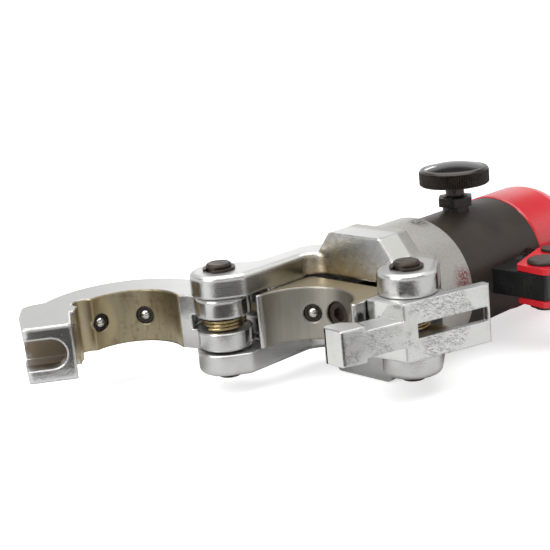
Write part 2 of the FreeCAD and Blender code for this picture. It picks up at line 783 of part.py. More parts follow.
def detent_pocket(piece, degrees):
    """Blind hole for one detent, cut along a radius of the seat."""
    feature = piece.body.newObject("PartDesign::SubtractiveCylinder", "DetentHole")
    feature.Radius = size.detent_radius
    feature.Height = size.detent_depth + 2
    direction = Rotation(Vector(0, 0, 1), degrees).multiply(Rotation(Vector(0, 1, 0), 90))
    start = direction.multVec(Vector(0, 0, size.seat_radius - 2))
    feature.AttachmentOffset = Placement(start, direction)
    feature.Placement = Placement(start, direction)
    piece.settle(feature, False)


jaw_ball_angles = (-18.0, 35.0)
ram_ball_angles = (180 + 32.0, 180 - 32.0)
for piece, angles, frame, prefixes, seat_name in (
        (jaw, jaw_ball_angles, open_jaw(), ("jaw_inner", "jaw_outer"), "jaw"),
        (ram, ram_ball_angles, Placement(), ("ram_left", "ram_right"), "ram")):
    sleeves = []
    for prefix, degrees in zip(prefixes, angles):
        detent_pocket(piece, degrees)
        sleeves.append(detent(prefix, frame, degrees))
    group(seat_name + "_detent_sleeves", sleeves)

# Release valve: threaded bushing, lock nut, needle and knurled knob with a domed cap.
bushing = Piece("valve_bushing", upright(-size.knob_place, 0))
bushing_bore = size.stem_radius + size.running_gap * 2
bushing.turn([
    (bushing_bore, 14.1),
    (size.bushing_radius - 0.02, 14.1),
    (size.bushing_radius - 0.02, size.bushing_top - 0.6),
    (size.bushing_radius - 0.6, size.bushing_top),
    (bushing_bore, size.bushing_top),
])
nut = Piece("lock_nut", upright(-size.knob_place, 0))
nut_corner = size.nut_across_flats / math.sqrt(3)
nut_low = size.bushing_top - size.nut_thick - 0.6
nut.pad("XY", outline([polar(nut_corner, 60 * i + 35) for i in range(6)]), "Sizes.nut_thick", "%f" % nut_low)
nut.pocket("XY", ring(0, 0, size.bushing_radius + 0.02), "Sizes.nut_thick + 2", "%f" % (nut_low - 1))
knob = Piece("release_knob", upright(-size.knob_place, 0))
knob_top = size.knob_bottom + size.knob_thick
knob.turn([
    (0, 17),
    (size.stem_radius, 17),
    (size.stem_radius, size.knob_bottom - 1.2),
    (size.stem_radius + 0.9, size.knob_bottom),
    (size.knob_radius, size.knob_bottom, 0.8),
    (size.knob_radius, knob_top, 2.1),
    (size.cap_radius + 0.1, knob_top),
    (size.cap_radius + 0.1, knob_top - 1.5),
    (0, knob_top - 1.5),
])
cap = Piece("knob_cap", upright(-size.knob_place, 0))
cap_rise = 2.4
dome_radius = (size.cap_radius ** 2 + cap_rise ** 2) / (2 * cap_rise)
dome_centre = Vector(0, knob_top + cap_rise - dome_radius, 0)
dome_half_angle = 90 - math.degrees(math.asin(size.cap_radius / dome_radius)) / 2
cap_sketch_edges = [
    Part.Arc(Vector(size.cap_radius, knob_top, 0),
             dome_centre + Vector(*polar(dome_radius, dome_half_angle), 0),
             Vector(0, knob_top + cap_rise, 0)),
    Part.LineSegment(Vector(0, knob_top + cap_rise, 0), Vector(0, knob_top - 1.45, 0)),
    Part.LineSegment(Vector(0, knob_top - 1.45, 0), Vector(size.cap_radius, knob_top - 1.45, 0)),
    Part.LineSegment(Vector(size.cap_radius, knob_top - 1.45, 0), Vector(size.cap_radius, knob_top, 0)),
]
cap_turn = cap.body.newObject("PartDesign::Revolution", "Dome")
cap_sketch = cap.sketch("XZ", None, cap_sketch_edges)
cap_turn.Profile = cap_sketch
cap_turn.ReferenceAxis = (cap_sketch, ["V_Axis"])
cap_turn.Angle = 360
cap.settle(cap_turn, True)
needle = Piece("release_needle", upright(-size.knob_place, 0))
needle.turn([(0, 3), (1.5, 5), (1.5, 12), (1.7, 12), (1.7, 16.9), (0, 16.9)])

# Lug on the barrel that carries the moving handle.
lug = Piece("handle_lug")
lug_back = size.lug_front + size.lug_width
lug.pad("XY", outline([
    (-size.lug_front, 10, 0),
    (-size.lug_front, size.lug_reach, 1.5),
    (-lug_back, size.lug_reach, 5),
    (-lug_back, 10, 0),
]), "Sizes.lug_height")
lug.pocket("YZ", ring(0, 0, size.barrel_radius + 0.02), "Sizes.lug_width + 2", "-Sizes.lug_front - Sizes.lug_width - 1")
lug.pocket("XY", ring(fulcrum.x, fulcrum.y, size.fulcrum_radius + size.running_gap), "Sizes.lug_height + 2")

# Moving handle: fork, tube and grip, drawn parallel to the barrel and then swung to rest.
handle_place = Placement(fulcrum, drive_rest)
drive_local = (-size.drive_back, -size.drive_inward)
fork = Piece("handle_fork", handle_place)
socket_start = 48.0
socket_end = 78.0
socket_radius = size.moving_tube_radius + 3.0
fork_corners = [
    (10, 9.5, 3),
    (-socket_start - 6, socket_radius, 3),
    (-socket_start - 6, -socket_radius + 3, 3),
    (-34, -14, 8),
    (drive_local[0] - 2, drive_local[1] - 9.5, 8),
    (10, -8.5, 2),
]
fork.pad("XY", outline(fork_corners), "Sizes.fork_gap + Sizes.fork_plate * 2")
fork.pad("YZ", ring(0, 0, socket_radius), "%f" % (socket_end - socket_start), "-%f" % socket_end)
fork_mouth = [(20, -40), (20, 40), (-socket_start + 4, 40), (-socket_start + 4, -40)]
fork.pocket("XY", outline(fork_mouth), "Sizes.fork_gap")
fork.pocket("XY", ring(0, 0, size.fulcrum_radius + 0.02), "Sizes.fork_gap + Sizes.fork_plate * 2 + 2")
fork.pocket("XY", ring(drive_local[0], drive_local[1], size.drive_radius + 0.02),
            "Sizes.fork_gap + Sizes.fork_plate * 2 + 2")
fork.pocket("YZ", ring(0, 0, size.moving_tube_radius + 0.02), "%f" % (socket_end - socket_start - 4),
            "-%f" % (socket_end + 1))
tube_end = size.moving_handle_length
moving_tube = Piece("handle_tube", handle_place.multiply(along_x(0)))
tube_wall = 2.0
moving_tube.turn([
    (size.moving_tube_radius - tube_wall, -tube_end + 3),
    (size.moving_tube_radius, -tube_end + 3),
    (size.moving_tube_radius, -socket_start - 6),
    (size.moving_tube_radius - tube_wall, -socket_start - 6),
])
moving_grip = Piece("moving_grip", handle_place.multiply(along_x(0)))
grip_start = tube_end - size.grip_length


def grip_profile(inner, outer, start, end):
    """Grip sleeve with a flange in front, finger rings and a closed rounded end."""
    points = [(inner, -start), (outer + 2, -start, 1), (outer + 2, -start - 6, 1.5), (outer, -start - 10)]
    points += [(outer, -end + 4, 3), (outer - 4, -end, 2), (0, -end), (0, -end + 2.9), (inner, -end + 2.9)]
    return points


moving_grip.turn(grip_profile(size.moving_tube_radius + 0.02, size.moving_grip_radius, grip_start, tube_end))
fork_half = size.fork_gap / 2 + size.fork_plate
fulcrum_pin = Piece("fulcrum_pin", handle_place)
fulcrum_pin.turn([
    (0, -fork_half - 3.4),
    (size.fulcrum_radius, -fork_half - 3.4),
    (size.fulcrum_radius, fork_half + 0.1),
    (size.fulcrum_radius + 3.0, fork_half + 0.1),
    (size.fulcrum_radius + 3.0, fork_half + 1.4),
    (size.fulcrum_radius + 2.0, fork_half + 2.2),
    (0, fork_half + 2.2),
])
drive_pin = Piece("plunger_pin", handle_place.multiply(upright(drive_local[0], drive_local[1])))
drive_pin.turn([
    (0, -fork_half - 3.0),
    (size.drive_radius, -fork_half - 3.0),
    (size.drive_radius, fork_half + 0.1),
    (size.drive_radius + 2.0, fork_half + 0.1),
    (size.drive_radius + 2.0, fork_half + 1.6),
    (0, fork_half + 1.6),
])
clip_members = []
for name, place, radius in (("fulcrum_clip", handle_place, size.fulcrum_radius),
                            ("drive_clip", handle_place.multiply(upright(*drive_local)), size.drive_radius)):
    clip = Piece(name, place)
    clip.turn([(radius + 0.02, -fork_half - 2.0), (radius + 2.4, -fork_half - 2.0),
               (radius + 2.4, -fork_half - 0.1), (radius + 0.02, -fork_half - 0.1)])
    clip_members.append(clip.body)
group("handle_pin_clips", clip_members)

# Pump plunger, its gland and seal, and the check valves of the pump.
head_width = 19.0
head_half = 7.0
plunger = Piece("pump_plunger", along_y(drive.x, 0))
plunger_foot = 4.0
plunger.turn([(0, plunger_foot), (size.plunger_radius, plunger_foot),
              (size.plunger_radius, drive.y - head_half + 1), (0, drive.y - head_half + 1)])
plunger.pad("XY", outline([
    (-head_width / 2, -size.lug_height / 2, 1), (head_width / 2, -size.lug_height / 2, 1),
    (head_width / 2, size.lug_height / 2, 1), (-head_width / 2, size.lug_height / 2, 1),
]), "%f" % (2 * head_half), "%f" % (drive.y - head_half))
slot_half_x = size.drive_radius + 2.4
slot_half_y = size.drive_radius + 0.5
slot_tool = doc.addObject("Part::Box", "plunger_slot")
slot_tool.Length = 2 * slot_half_x
slot_tool.Width = 2 * slot_half_y
slot_tool.Height = 40
slot_tool.Placement = Placement(Vector(drive.x - slot_half_x, drive.y - slot_half_y, -20), Rotation())
plunger_cut = doc.addObject("Part::Cut", "plunger")
plunger_cut.Label = "plunger"
plunger_cut.Base = plunger.body
plunger_cut.Tool = slot_tool
nodes.remove(plunger.body)
nodes.append(plunger_cut)
gland = Piece("plunger_gland", along_y(drive.x, 0))
gland.turn([(size.plunger_radius + size.running_gap, 25.1), (8.95, 25.1), (8.95, 28.9),
            (size.plunger_radius + size.running_gap, 28.9)])
plunger_seal = Piece("plunger_seal", along_y(drive.x, 0))
plunger_seal.turn([(size.plunger_radius + size.running_gap, 22.0), (8.9, 22.0), (8.9, 25.0),
                   (size.plunger_radius + size.running_gap, 25.0)])

# Ball check valves: delivery ahead of the plunger hole, suction behind it.
for name, place in (("delivery", ball_lift - delivery_seat), ("suction", ball_lift - suction_seat)):
    ball = doc.addObject("Part::Sphere", name + "_ball")
    ball.Label = name + "_ball"
    ball.Radius = valve_ball_radius
    ball.Placement = Placement(Vector(place, 0, 0), Rotation())
    nodes.append(ball)

# Red pump housing, a domed casting, with the reservoir handle behind it.
housing = Piece("pump_housing", along_x(0))
dome_start = size.barrel_back + size.housing_body
dome_end = size.barrel_back + size.housing_length
neck_end = dome_end + size.neck_length
dome_middle_x = dome_start + (dome_end - dome_start) * 0.5
dome_middle_r = size.neck_radius + (size.housing_radius - size.neck_radius) * 0.76
dome_points = [
    Vector(size.housing_radius, -dome_start, 0),
    Vector(dome_middle_r, -dome_middle_x, 0),
    Vector(size.neck_radius, -dome_end, 0),
]
tube_seat = neck_end - 26
housing_lines = [
    Vector(size.neck_radius, -dome_end, 0),
    Vector(size.neck_radius, -neck_end, 0),
    Vector(size.handle_tube_radius + 0.02, -neck_end, 0),
    Vector(size.handle_tube_radius + 0.02, -tube_seat, 0),
    Vector(8, -tube_seat, 0),
    Vector(8, -size.barrel_back - size.tail_spigot_length - 0.1, 0),
    Vector(size.tail_spigot_radius + 0.02, -size.barrel_back - size.tail_spigot_length - 0.1, 0),
    Vector(size.tail_spigot_radius + 0.02, -size.barrel_back - 0.05, 0),
    Vector(size.housing_radius - 0.8, -size.barrel_back - 0.05, 0),
    Vector(size.housing_radius, -size.barrel_back - 0.85, 0),
    Vector(size.housing_radius, -dome_start, 0),
]
housing_edges = [Part.Arc(*dome_points)]
housing_edges += [Part.LineSegment(a, b) for a, b in zip(housing_lines[:-1], housing_lines[1:])]
housing_turn = housing.body.newObject("PartDesign::Revolution", "Casting")
housing_sketch = housing.sketch("XZ", None, housing_edges)
housing_turn.Profile = housing_sketch
housing_turn.ReferenceAxis = (housing_sketch, ["V_Axis"])
housing_turn.Angle = 360
housing.settle(housing_turn, True)

fixed_end = neck_end + size.fixed_handle_length
reservoir_tube = Piece("reservoir_tube", along_x(0))
reservoir_wall = 2.0
reservoir_tube.turn([
    (size.handle_tube_radius - reservoir_wall, -fixed_end + 8),
    (size.handle_tube_radius, -fixed_end + 8),
    (size.handle_tube_radius, -tube_seat - 0.1),
    (size.handle_tube_radius - reservoir_wall, -tube_seat - 0.1),
])
bladder = Piece("oil_bladder", along_x(0))
bladder_radius = size.handle_tube_radius - reservoir_wall - 0.3
bladder.turn([
    (0, -fixed_end + 30),
    (bladder_radius, -fixed_end + 30),
    (bladder_radius, -tube_seat - 1),
    (bladder_radius - 1.5, -tube_seat - 1),
    (bladder_radius - 1.5, -fixed_end + 31.5),
    (0, -fixed_end + 31.5),
])
plug = Piece("filler_plug", along_x(0))
plug.turn([
    (0, -fixed_end),
    (8, -fixed_end),
    (9, -fixed_end + 1),
    (9, -fixed_end + 7.9),
    (size.handle_tube_radius - reservoir_wall - 0.02, -fixed_end + 8),
    (size.handle_tube_radius - reservoir_wall - 0.02, -fixed_end + 18),
    (0, -fixed_end + 18),
])
fixed_grip = Piece("fixed_grip", along_x(0))
fixed_inner = size.handle_tube_radius + 0.02
fixed_start = fixed_end - size.grip_length
fixed_grip.turn([
    (fixed_inner, -fixed_start),
    (size.fixed_grip_radius + 2, -fixed_start, 1),
    (size.fixed_grip_radius + 2, -fixed_start - 6, 1.5),
    (size.fixed_grip_radius, -fixed_start - 10),
    (size.fixed_grip_radius, -fixed_end - 1, 3),
    (9.5, -fixed_end - 1),
    (9.5, -fixed_end + 7.9),
    (fixed_inner, -fixed_end + 7.9),
])

doc.recompute()
os.makedirs("parts", exist_ok=True)
for item in doc.Objects:
    if "Invalid" in item.State or "Error" in item.State:
        raise ValueError("%s failed" % item.Label)
for node in nodes:
    if node.Shape.isNull() or not node.Shape.isValid() or not node.Shape.Solids:
        raise ValueError("%s has no valid shape" % node.Label)
for node in nodes:
    node.Shape.exportStep("parts/%s.step" % node.Label)
print(len(nodes), "nodes written")
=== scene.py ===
import bmesh
import bpy
import json
import math
from mathutils import Matrix, Vector


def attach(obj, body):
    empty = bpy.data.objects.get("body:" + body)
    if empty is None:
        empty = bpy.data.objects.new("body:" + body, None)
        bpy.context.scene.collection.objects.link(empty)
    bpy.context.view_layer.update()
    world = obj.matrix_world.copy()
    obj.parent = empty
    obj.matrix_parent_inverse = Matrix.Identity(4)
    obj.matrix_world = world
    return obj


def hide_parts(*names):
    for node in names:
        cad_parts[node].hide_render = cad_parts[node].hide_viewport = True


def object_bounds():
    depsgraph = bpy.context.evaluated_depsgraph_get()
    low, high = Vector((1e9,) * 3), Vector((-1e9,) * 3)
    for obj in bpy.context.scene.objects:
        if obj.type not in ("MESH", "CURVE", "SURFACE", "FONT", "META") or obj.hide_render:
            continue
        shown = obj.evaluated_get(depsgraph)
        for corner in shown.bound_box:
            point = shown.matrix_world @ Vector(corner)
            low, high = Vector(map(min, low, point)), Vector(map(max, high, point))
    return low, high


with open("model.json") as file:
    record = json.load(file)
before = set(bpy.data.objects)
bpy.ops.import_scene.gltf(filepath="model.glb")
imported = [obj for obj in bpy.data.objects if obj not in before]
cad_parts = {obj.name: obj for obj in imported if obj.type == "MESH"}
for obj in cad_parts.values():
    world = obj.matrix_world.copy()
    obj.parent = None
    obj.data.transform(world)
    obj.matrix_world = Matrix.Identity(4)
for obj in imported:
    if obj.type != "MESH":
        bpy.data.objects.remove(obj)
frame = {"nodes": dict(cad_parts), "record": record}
cad_box = [list(corner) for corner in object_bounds()]
cad = frame["nodes"]

# Yoke: the forged steel head. It is machined in the throat, ground on the cheeks and nickel
# plated all over; its long edges are broken by hand before plating.
body_of = {node: body for body, members in frame["record"]["behaviour"]["bodies"].items()
           for node in members}
weld_gap = 0.000004
flat_within = math.radians(0.6)
rounded_above = math.radians(24)
smooth_within = math.radians(32)


def select_only(obj):
    bpy.ops.object.select_all(action="DESELECT")
    obj.select_set(True)
    bpy.context.view_layer.objects.active = obj


def welded_copy(node):
    """Copy of a solid with its loose triangles joined into whole faces."""
    piece = bpy.data.objects.new(node + "_finished", cad[node].data.copy())
    bpy.context.scene.collection.objects.link(piece)
    select_only(piece)
    bpy.ops.object.mode_set(mode="EDIT")
    bpy.ops.mesh.select_all(action="SELECT")
    bpy.ops.mesh.remove_doubles(threshold=weld_gap)
    bpy.ops.mesh.dissolve_limited(angle_limit=flat_within)
    bpy.ops.object.mode_set(mode="OBJECT")
    return piece


def round_edges(piece, width, segments):
    """Breaks the sharp edges, as filing or forging does."""
    select_only(piece)
    soften = piece.modifiers.new("edges", "BEVEL")
    soften.width = width
    soften.segments = segments
    soften.limit_method = "ANGLE"
    soften.angle_limit = rounded_above
    bpy.ops.object.modifier_apply(modifier=soften.name)


def even_shading(piece):
    """Smooth shading over curved faces, with flat faces kept flat."""
    select_only(piece)
    bpy.ops.object.shade_smooth_by_angle(angle=smooth_within)
    faces = piece.modifiers.new("faces", "WEIGHTED_NORMAL")
    faces.keep_sharp = True
    bpy.ops.object.modifier_apply(modifier=faces.name)


def dress(node, material, width=0.0, segments=2, piece=None):
    """Finished piece that stands in for a solid, with its material."""
    piece = piece or welded_copy(node)
    if width:
        round_edges(piece, width, segments)
    even_shading(piece)
    piece.data.materials.clear()
    piece.data.materials.append(material)
    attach(piece, body_of[node])
    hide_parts(node)
    return piece


def effect_group(name, inputs, output):
    """Empty group of shader nodes with named sockets and one output."""
    tree = bpy.data.node_groups.new(name, "ShaderNodeTree")
    tree.interface.new_socket("Vector", in_out="INPUT", socket_type="NodeSocketVector")
    for label, value in inputs.items():
        kind = "NodeSocketVector" if isinstance(value, tuple) else "NodeSocketFloat"
        tree.interface.new_socket(label, in_out="INPUT", socket_type=kind).default_value = value
    tree.interface.new_socket(output, in_out="OUTPUT", socket_type="NodeSocketFloat")
    return tree, tree.nodes.new("NodeGroupInput"), tree.nodes.new("NodeGroupOutput")


def calculation(tree, kind, operation, *feeds):
    """A Math or Vector Math node whose inputs are sockets or plain values."""
    step = tree.nodes.new(kind)
    step.operation = operation
    for socket, feed in zip(step.inputs, feeds):
        if isinstance(feed, bpy.types.NodeSocket):
            tree.links.new(feed, socket)
        else:
            socket.default_value = feed
    return step


def ramp(tree, value, start, end, low=0.0, high=1.0):
    """Smooth step of a value between two limits."""
    step = tree.nodes.new("ShaderNodeMapRange")
    step.interpolation_type = "SMOOTHSTEP"
    for label, feed in (("Value", value), ("From Min", start), ("From Max", end),
                        ("To Min", low), ("To Max", high)):
        if isinstance(feed, bpy.types.NodeSocket):
            tree.links.new(feed, step.inputs[label])
        else:
            step.inputs[label].default_value = feed
    return step.outputs["Result"]


# Fine parallel marks of a cutter or a belt, stretched along one direction.
grain, start, end = effect_group("grain", {"Spread": (1.0, 1.0, 1.0)}, "Lines")
stretch = calculation(grain, "ShaderNodeVectorMath", "MULTIPLY", start.outputs["Vector"],
                      start.outputs["Spread"])
lines = grain.nodes.new("ShaderNodeTexNoise")
lines.inputs["Scale"].default_value = 1.0
lines.inputs["Detail"].default_value = 3.0
grain.links.new(stretch.outputs[0], lines.inputs["Vector"])
grain.links.new(lines.outputs["Fac"], end.inputs["Lines"])

# Cloudy stains, pits and handling marks.
stain, start, end = effect_group("stain", {"Size": 60.0, "Low": 0.4, "High": 0.7}, "Mask")
clouds = stain.nodes.new("ShaderNodeTexNoise")
clouds.inputs["Detail"].default_value = 5.0
clouds.inputs["Roughness"].default_value = 0.62
stain.links.new(start.outputs["Vector"], clouds.inputs["Vector"])
stain.links.new(start.outputs["Size"], clouds.inputs["Scale"])
stain.links.new(ramp(stain, clouds.outputs["Fac"], start.outputs["Low"], start.outputs["High"]),
                end.inputs["Mask"])

# Soft spot round a point, with a ragged border.
spot, start, end = effect_group("spot", {"Centre": (0.0, 0.0, 0.0), "Radius": 0.01, "Edge": 0.005},
                                "Mask")
away = calculation(spot, "ShaderNodeVectorMath", "DISTANCE", start.outputs["Vector"],
                   start.outputs["Centre"])
ragged = spot.nodes.new("ShaderNodeTexNoise")
ragged.inputs["Scale"].default_value = 260.0
ragged.inputs["Detail"].default_value = 4.0
spot.links.new(start.outputs["Vector"], ragged.inputs["Vector"])
shift = calculation(spot, "ShaderNodeMath", "MULTIPLY_ADD", ragged.outputs["Fac"],
                    start.outputs["Edge"], away.outputs["Value"])
border = calculation(spot, "ShaderNodeMath", "ADD", start.outputs["Radius"], start.outputs["Edge"])
spot.links.new(ramp(spot, shift.outputs[0], start.outputs["Radius"], border.outputs[0], 1.0, 0.0),
               end.inputs["Mask"])

# What lies or looks one way: fed with the normal it finds faces, fed with the place it finds a zone.
facing, start, end = effect_group("facing", {"Direction": (0.0, 0.0, 1.0), "Low": 0.6, "High": 0.9},
                                  "Mask")
along = calculation(facing, "ShaderNodeVectorMath", "DOT_PRODUCT", start.outputs["Vector"],
                    start.outputs["Direction"])
facing.links.new(ramp(facing, along.outputs["Value"], start.outputs["Low"], start.outputs["High"]),
                 end.inputs["Mask"])


def blank_material(name, colour, metallic, roughness):
    """New material, and the place on the piece that its patterns read."""
    material = bpy.data.materials.new(name)
    material.use_nodes = True
    tree = material.node_tree
    shader = tree.nodes["Principled BSDF"]
    shader.inputs["Base Color"].default_value = (*colour, 1)
    shader.inputs["Metallic"].default_value = metallic
    shader.inputs["Roughness"].default_value = roughness
    coordinates = tree.nodes.new("ShaderNodeTexCoord")
    return material, tree, shader, coordinates.outputs["Object"]


def normal_of(vector):
    """The surface's own normal, from where a material reads the place."""
    return vector.node.outputs["Normal"]


def add_effect(tree, group, vector, **values):
    """Places one of the effects in a material and returns its mask."""
    node = tree.nodes.new("ShaderNodeGroup")
    node.node_tree = group
    tree.links.new(vector, node.inputs["Vector"])
    for label, value in values.items():
        node.inputs[label].default_value = value
    return node.outputs[0]


def both(tree, first, second):
    """Where two masks meet."""
    return calculation(tree, "ShaderNodeMath", "MULTIPLY", first, second).outputs[0]


def without(tree, mask, *others):
    """A mask with other masks cut out of it."""
    for other in others:
        mask = both(tree, mask, ramp(tree, other, 0.0, 1.0, 1.0, 0.0))
    return mask


def tint(tree, shader, mask, colour, strength=1.0):
    """Mixes a second colour into whatever feeds the base colour."""
    mix = tree.nodes.new("ShaderNodeMix")
    mix.data_type = "RGBA"
    base = shader.inputs["Base Color"]
    if base.is_linked:
        tree.links.new(base.links[0].from_socket, mix.inputs["A"])
    else:
        mix.inputs["A"].default_value = base.default_value
    mix.inputs["B"].default_value = (*colour, 1)
    tree.links.new(both(tree, mask, strength), mix.inputs["Factor"])
    tree.links.new(mix.outputs["Result"], base)


def roughen(tree, shader, mask, low, high):
    """Roughness from low to high as the mask goes from 0 to 1, where that is rougher than before."""
    spread = ramp(tree, mask, 0.0, 1.0, low, high)
    if shader.inputs["Roughness"].is_linked:
        earlier = shader.inputs["Roughness"].links[0].from_socket
        spread = calculation(tree, "ShaderNodeMath", "MAXIMUM", earlier, spread).outputs[0]
    tree.links.new(spread, shader.inputs["Roughness"])


def raise_surface(tree, shader, height, strength, distance):
    """Fine relief on top of whatever shapes the normal so far."""
    bump = tree.nodes.new("ShaderNodeBump")
    bump.inputs["Strength"].default_value = strength
    bump.inputs["Distance"].default_value = distance
    tree.links.new(height, bump.inputs["Height"])
    if shader.inputs["Normal"].is_linked:
        tree.links.new(shader.inputs["Normal"].links[0].from_socket, bump.inputs["Normal"])
    tree.links.new(bump.outputs["Normal"], shader.inputs["Normal"])


def worn_edges(tree, shader, radius):
    """Runs the normal smoothly round each sharp edge, and returns where these rubbed edges are."""
    soft = tree.nodes.new("ShaderNodeBevel")
    soft.samples = 6
    soft.inputs["Radius"].default_value = radius
    tree.links.new(soft.outputs["Normal"], shader.inputs["Normal"])
    true_normal = tree.nodes.new("ShaderNodeNewGeometry").outputs["Normal"]
    turned = calculation(tree, "ShaderNodeVectorMath", "DOT_PRODUCT", soft.outputs["Normal"],
                         true_normal)
    return ramp(tree, turned.outputs["Value"], 0.95, 0.995, 1.0, 0.0)


satin_top = (0.62, 0.62, 0.61)
pit_dark = (0.12, 0.11, 0.10)
rubbed_bright = (0.74, 0.74, 0.73)


def nickel(name, colour, low, high, spread, tone, edge=0.0016):
    """Nickel plate over forged and machined steel, satin on top and brighter on the sides."""
    material, tree, shader, vector = blank_material(name, colour, 1.0, 0.25)
    marks = add_effect(tree, grain, vector, Spread=spread)
    cloud = add_effect(tree, stain, vector, Size=70.0, Low=0.45, High=0.72)
    pits = add_effect(tree, stain, vector, Size=1100.0, Low=0.62, High=0.72)
    waves = add_effect(tree, stain, vector, Size=420.0, Low=0.2, High=0.8)
    upper = add_effect(tree, facing, normal_of(vector), Low=0.45, High=0.8)
    tint(tree, shader, cloud, tone, 0.4)
    tint(tree, shader, upper, satin_top, 0.8)
    tint(tree, shader, pits, pit_dark, 0.4)
    roughen(tree, shader, marks, low, high)
    roughen(tree, shader, upper, low, 0.42)
    rim = worn_edges(tree, shader, edge)
    tint(tree, shader, rim, rubbed_bright, 0.8)
    matt = shader.inputs["Roughness"].links[0].from_socket
    tree.links.new(both(tree, matt, ramp(tree, rim, 0.0, 1.0, 1.0, 0.35)), shader.inputs["Roughness"])
    raise_surface(tree, shader, marks, 0.2, 0.00005)
    raise_surface(tree, shader, waves, 0.14, 0.00016)
    raise_surface(tree, shader, pits, 0.25, 0.00006)
    return material, tree, shader, vector


yoke_nickel, tree, shader, vector = nickel("yoke_nickel", (0.56, 0.56, 0.55), 0.06, 0.20,
                                           (380.0, 380.0, 260.0), (0.36, 0.34, 0.29))

# The throat has gone golden and brown from the heat and oil of use.
throat_gold = (0.33, 0.25, 0.12)
throat_brown = (0.20, 0.155, 0.09)
front = add_effect(tree, facing, normal_of(vector), Direction=(0.94, 0.34, 0.0), Low=0.35, High=0.7)
throat = add_effect(tree, spot, vector, Centre=(-0.026, -0.010, 0.008), Radius=0.022, Edge=0.024)
mottle = add_effect(tree, stain, vector, Size=420.0, Low=0.3, High=0.75)
aged = both(tree, front, throat)
tint(tree, shader, aged, throat_gold, 0.9)
tint(tree, shader, both(tree, aged, mottle), throat_brown, 0.6)
roughen(tree, shader, aged, 0.14, 0.36)

# The collar is blasted matt; the bridge's bevel facing up to the latch side is ground, with a painted
# highlight.
collar_from = 0.049
collar_full = 0.053
collar_satin = (0.52, 0.51, 0.48)
collar_shade = (0.36, 0.34, 0.31)
painted_bevel_highlight = (0.84, 0.84, 0.79)
collar = add_effect(tree, facing, vector, Direction=(-1.0, 0.0, 0.0), Low=collar_from, High=collar_full)
blasted = add_effect(tree, stain, vector, Size=1500.0, Low=0.3, High=0.7)
tint(tree, shader, collar, collar_satin, 0.9)
tint(tree, shader, both(tree, collar, blasted), collar_shade, 0.6)
roughen(tree, shader, collar, 0.1, 0.48)
raise_surface(tree, shader, blasted, 0.25, 0.00010)
# Painted highlight: the bridge's bevel that faces up towards the latch side is painted bright.
bevel_glint = add_effect(tree, facing, normal_of(vector), Direction=(0.0, 0.8, 0.6), Low=0.96, High=0.99)
bevel_glint = without(tree, bevel_glint, collar)
tint(tree, shader, bevel_glint, painted_bevel_highlight, 0.8)
roughen(tree, shader, bevel_glint, 0.05, 0.5)

# Rubbed-off red paint by the latch and black grease at the collar's rear edge.
red_paint = (0.20, 0.02, 0.02)
black_grease = (0.02, 0.02, 0.02)
red_marks = add_effect(tree, spot, vector, Centre=(-0.076, 0.0325, 0.008), Radius=0.005, Edge=0.008)
flecks = add_effect(tree, stain, vector, Size=1300.0, Low=0.42, High=0.54)
tint(tree, shader, both(tree, red_marks, flecks), red_paint, 0.9)
black_marks = add_effect(tree, spot, vector, Centre=(-0.077, 0.007, 0.033), Radius=0.004, Edge=0.005)
tint(tree, shader, both(tree, black_marks, flecks), black_grease, 0.9)
dress("yoke", yoke_nickel, 0.0014, 3)

# Hinge pin and latch pin: turned from bar, hardened and oiled dark, with an open spring clip
# snapped into a groove at each end.
pin_dark, tree, shader, vector = blank_material("oiled_pin", (0.030, 0.021, 0.016), 0.5, 0.46)
dry_oil = add_effect(tree, stain, vector, Size=260.0, Low=0.35, High=0.75)
tint(tree, shader, dry_oil, (0.07, 0.048, 0.034), 0.7)
roughen(tree, shader, dry_oil, 0.4, 0.6)
for node in ("hinge_pin", "latch_pin", "pin_circlips"):
    dress(node, pin_dark, 0.0003)

# Jaw: forged hook that swings on the hinge pin. Its seat is bored, its sides are ground and its
# nose is slotted for the latch. The seat and the scooped relief beside it have gone golden.
bore, start, end = effect_group("bore", {"Centre": (0.0, 0.0, 0.0), "Radius": 0.024}, "Mask")
inward = calculation(bore, "ShaderNodeVectorMath", "SUBTRACT", start.outputs["Vector"],
                     start.outputs["Centre"])
level = calculation(bore, "ShaderNodeVectorMath", "MULTIPLY", inward.outputs[0], (1.0, 1.0, 0.0))
reach = calculation(bore, "ShaderNodeVectorMath", "LENGTH", level.outputs[0])
outside = calculation(bore, "ShaderNodeMath", "ADD", start.outputs["Radius"], 0.0006)
inside = ramp(bore, reach.outputs["Value"], start.outputs["Radius"], outside.outputs[0], 1.0, 0.0)
bore.links.new(inside, end.inputs["Mask"])
hinge = Vector((0.0068, -0.044, 0.0))
opening = Matrix.Rotation(math.radians(-127.1), 4, "Z")


def jaw_place(x, y, z):
    """Place on the jaw, given as on the closed jaw in millimetres, in the open rest position."""
    return hinge + opening @ (Vector((x, y, z)) / 1000 - hinge)


jaw_nickel, tree, shader, vector = nickel("jaw_nickel", (0.54, 0.54, 0.54), 0.07, 0.20,
                                          (380.0, 380.0, 260.0), (0.34, 0.31, 0.25))
seat_centre = jaw_place(6.8, 0, 0)
seat_reach = 0.0243
seat = add_effect(tree, bore, vector, Centre=seat_centre, Radius=seat_reach)
streaks = add_effect(tree, grain, vector, Spread=(520.0, 520.0, 60.0))
rust = add_effect(tree, stain, vector, Size=330.0, Low=0.5, High=0.7)
tint(tree, shader, seat, (0.40, 0.34, 0.22), 0.95)
tint(tree, shader, both(tree, seat, streaks), (0.17, 0.145, 0.09), 0.8)
tint(tree, shader, both(tree, seat, rust), (0.16, 0.085, 0.04), 0.45)
roughen(tree, shader, seat, 0.16, 0.36)
